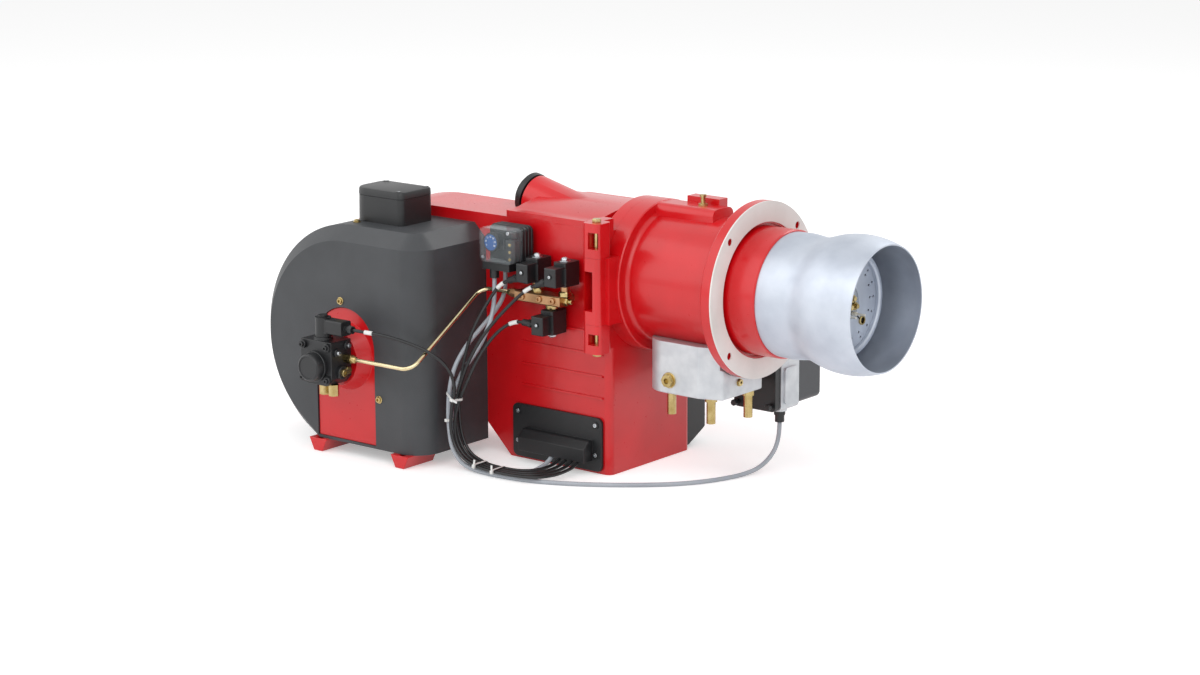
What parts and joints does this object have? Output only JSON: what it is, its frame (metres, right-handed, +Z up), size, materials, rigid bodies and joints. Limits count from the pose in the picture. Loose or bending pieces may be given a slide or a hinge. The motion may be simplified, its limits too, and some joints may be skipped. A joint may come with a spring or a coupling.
{
  "type": "oil burner",
  "caption": "Forced-draught heavy oil burner: hinged red fan housing and drum, grey intake hood, oil pump, valves and a flame tube.",
  "frame": {"origin": "centre of the gasket's front face on the boiler flange, on the flame tube's axis", "axes": "+X along the flame, +Z up, -Y the side with the pump, valves and hinge"},
  "size_m": [1.253, 0.653, 0.5366],
  "materials": {
    "red_paint": "gloss",
    "hood_grey": "satin",
    "black_cast": "satin",
    "black_plastic": "satin",
    "dark_plastic": "satin",
    "cast_aluminium": "cast satin",
    "brass": "satin",
    "copper_block": "satin",
    "steel": "satin",
    "bright_steel": "polished",
    "tube_steel": "satin",
    "gasket_white": "matt",
    "clear_cover": "clear",
    "dial_blue": "gloss",
    "ceramic": "glazed",
    "cable_black": "satin",
    "cable_grey": "satin"
  },
  "bodies": {
    "housing_body": {"housing": "red_paint", "top_cover": "red_paint", "sight_cap": "black_plastic", "intake_hood": "hood_grey", "intake_panel": "red_paint", "feet": "red_paint", "terminal_box": "black_plastic", "motor": "black_cast", "oil_pump": "black_cast", "pump_cover": "black_cast", "pump_solenoid": "black_plastic", "pump_plug": "black_plastic", "pump_ports": "brass", "oil_pipe": "brass", "valve_block": "copper_block", "valve_coil_1": "black_plastic", "valve_coil_2": "black_plastic", "valve_coil_3": "black_plastic", "coil_nut_1": "bright_steel", "coil_nut_2": "bright_steel", "coil_nut_3": "bright_steel", "valve_plug_1": "black_plastic", "valve_plug_2": "black_plastic", "valve_plug_3": "black_plastic", "switch_body": "dark_plastic", "switch_cover": "clear_cover", "cable_plate": "black_plastic", "plate_screws": "bright_steel", "hood_screws": "brass", "closing_screws": "bright_steel", "damper_drive_cover": "black_plastic", "hinge_pin": "steel", "valve_cable_1": "cable_black", "valve_cable_2": "cable_black", "valve_cable_3": "cable_black", "pump_cable": "cable_black", "switch_cable": "cable_grey", "servo_cable": "cable_grey"},
    "head": {"gasket": "gasket_white", "drum": "red_paint", "test_nipple": "brass", "flame_tube_collar": "red_paint", "flame_tube": "tube_steel", "diffuser_disc": "tube_steel", "diffuser_ring": "tube_steel", "nozzle_lance": "steel", "oil_nozzles": "brass", "electrodes": "ceramic", "oil_regulator_block": "cast_aluminium", "regulator_plugs": "brass", "hose_nipples": "brass", "servo_front": "black_plastic", "servo_body": "cast_aluminium", "servo_cover": "dark_plastic", "servo_gear_motor": "steel", "servo_gland": "black_plastic"},
    "fan": {"fan_rotor": "steel"},
    "regulator": {"regulator_spindle": "steel"},
    "damper": {"air_damper": "steel"},
    "dial": {"switch_dial": "dial_blue"}
  },
  "joints": [
    {"name": "head_swing", "type": "hinge", "parent": "housing_body", "child": "head", "pos_m": [-0.262, -0.163, 0], "axis": [0, 0, 1], "range_deg": [-85, 0]},
    {"name": "fan_spin", "type": "hinge", "parent": "housing_body", "child": "fan", "pos_m": [-0.757, -0.2, -0.172], "axis": [0, 1, 0], "continuous": true},
    {"name": "regulator_turn", "type": "hinge", "parent": "head", "child": "regulator", "pos_m": [-0.074, 0.06, -0.172], "axis": [0, 1, 0], "range_deg": [0, 90]},
    {"name": "damper_turn", "type": "hinge", "parent": "housing_body", "child": "damper", "pos_m": [-0.32, 0, -0.212], "axis": [0, 1, 0], "range_deg": [0, 90]},
    {"name": "dial_turn", "type": "hinge", "parent": "housing_body", "child": "dial", "pos_m": [-0.494, -0.18, 0.06], "axis": [0, 1, 0], "range_deg": [-135, 135]}
  ]
}
